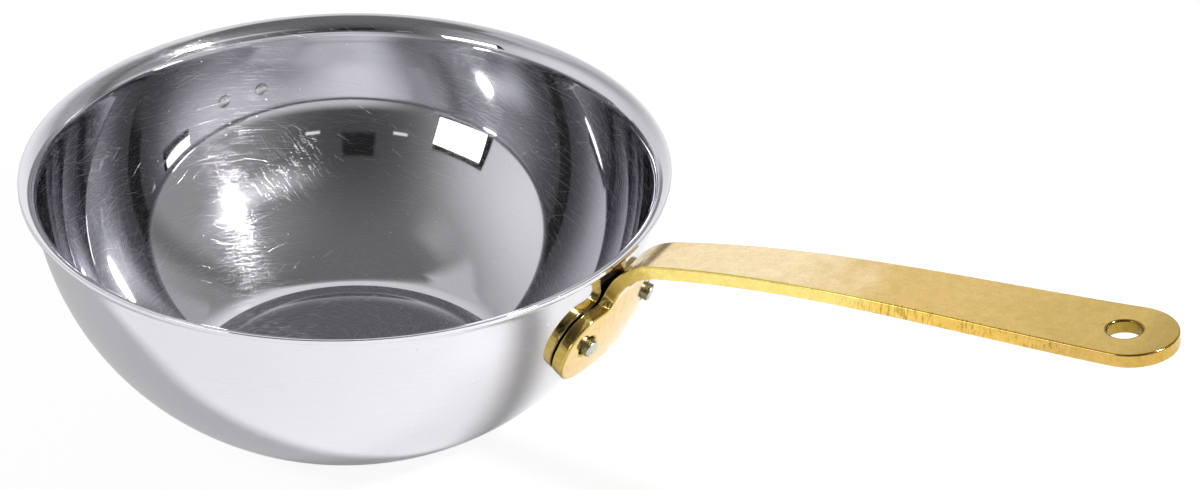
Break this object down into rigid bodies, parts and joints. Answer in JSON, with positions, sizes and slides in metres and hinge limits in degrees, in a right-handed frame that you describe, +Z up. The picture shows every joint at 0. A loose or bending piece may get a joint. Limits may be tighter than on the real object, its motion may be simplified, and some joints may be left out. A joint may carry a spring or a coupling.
{
  "type": "wok",
  "caption": "Small flat-based steel wok with a flared lip and a flat, bent brass handle riveted to its wall; the handle ends in a hanging hole.",
  "frame": {"origin": "centre of the flat underside of the base, which is the surface the wok stands on", "axes": "+Z up along the bowl's axis, +X from the bowl's axis along the handle to its tip, +Y to the handle's left seen from the bowl"},
  "size_m": [0.294, 0.16, 0.0816],
  "materials": {
    "polished_steel": "mirror polished sheet steel with fine scratches",
    "brass": "satin, milled edges",
    "rivet_steel": "satin"
  },
  "bodies": {
    "root": {"bowl": "polished_steel", "handle": "brass", "rivet_left": "rivet_steel", "rivet_right": "rivet_steel"}
  },
  "joints": []
}
